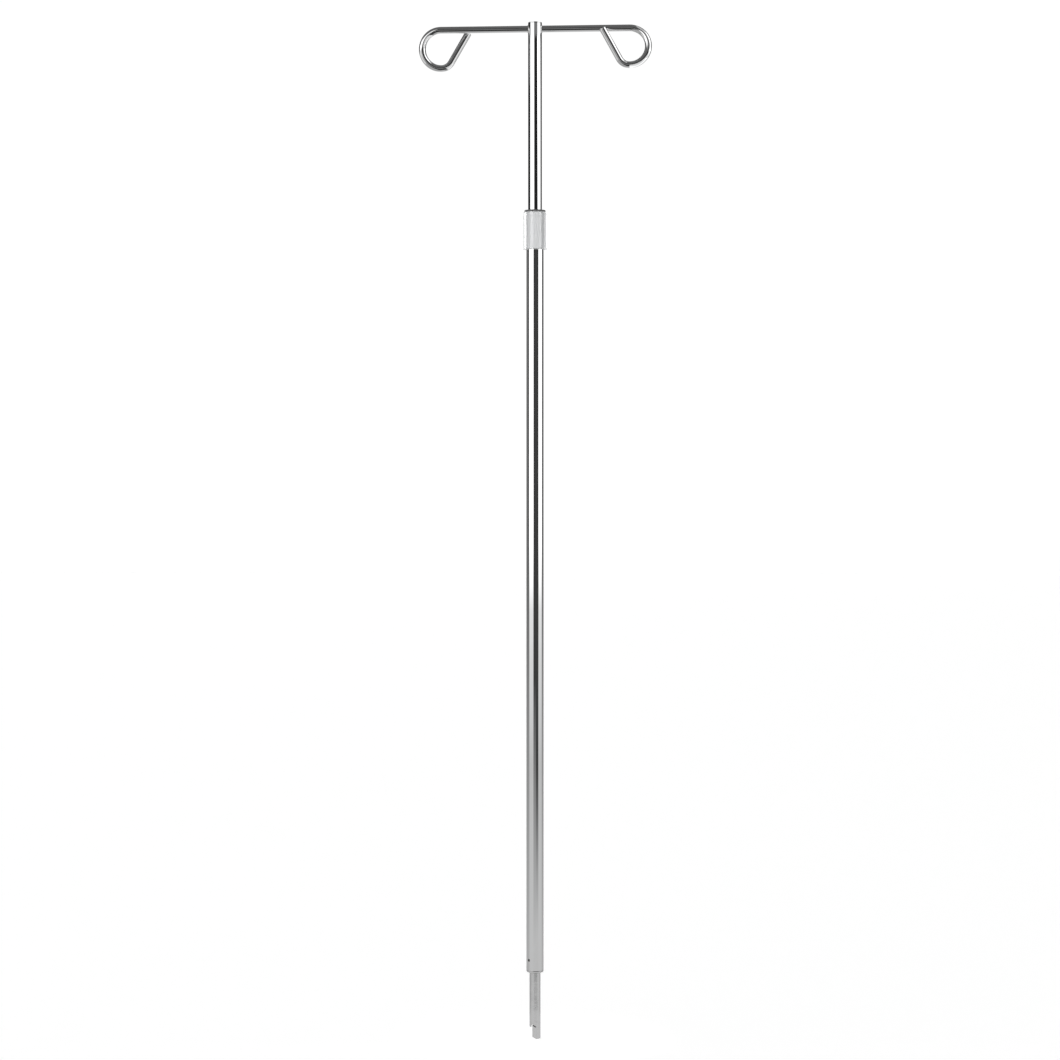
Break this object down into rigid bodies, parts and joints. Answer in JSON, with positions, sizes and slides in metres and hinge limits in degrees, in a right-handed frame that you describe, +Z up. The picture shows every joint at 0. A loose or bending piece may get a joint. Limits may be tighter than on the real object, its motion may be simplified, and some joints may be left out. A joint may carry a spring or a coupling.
{
  "type": "iv drip stand",
  "caption": "Telescopic drip pole for a bed or trolley socket: stepped chrome tubes, a lift-to-release lock collar and a bent rod with two bag hooks.",
  "frame": {"origin": "on the pole's axis at the spigot's shoulder, the face that rests on the socket", "axes": "+Z up along the pole, +X along the hook rod, and -Y is the front"},
  "size_m": [0.337, 0.0356, 1.464],
  "materials": {
    "chrome_tube": "polished stainless tube",
    "chrome_rod": "polished stainless rod",
    "turned_steel": "fine turned stainless steel",
    "dark_steel": "oiled spring steel",
    "weld_bead": "polished weld",
    "collar_plastic": "light grey moulded gloss",
    "bush_plastic": "natural acetal",
    "wiper_rubber": "matt black elastomer",
    "cage_brass": "turned brass"
  },
  "bodies": {
    "lower_mast": {"lower_tube": "chrome_tube", "spigot": "turned_steel", "spigot_roll_pin": "dark_steel", "mast_guide_bush": "bush_plastic", "head_housing": "turned_steel", "housing_grub_screws": "dark_steel", "taper_ring": "dark_steel", "clamp_spring": "dark_steel", "spring_cap": "turned_steel"},
    "collar": {"release_collar": "collar_plastic", "collar_base_ring": "collar_plastic", "collar_circlip": "dark_steel", "wiper_ring": "wiper_rubber", "ball_cage": "cage_brass", "clamp_balls": "chrome_rod"},
    "slider": {"foot_bush": "bush_plastic"},
    "upper_mast": {"upper_tube": "chrome_tube", "hook_bar": "chrome_rod", "hook_welds": "weld_bead", "top_plug": "turned_steel", "foot_plug": "bush_plastic", "foot_plug_pin": "dark_steel", "stop_sleeve": "turned_steel", "stop_rivets": "dark_steel"}
  },
  "joints": [
    {"name": "height_slide", "type": "slide", "parent": "lower_mast", "child": "slider", "axis": [0, 0, 1], "range_m": [-0.248, 0.28]},
    {"name": "mast_swivel", "type": "hinge", "parent": "slider", "child": "upper_mast", "pos_m": [0, 0, 1.2], "axis": [0, 0, 1], "continuous": true},
    {"name": "collar_lift", "type": "slide", "parent": "lower_mast", "child": "collar", "axis": [0, 0, 1], "range_m": [0, 0.005], "stiffness_N_per_m": 1200, "springref_m": -0.006, "deforming": ["clamp_spring"]}
  ]
}
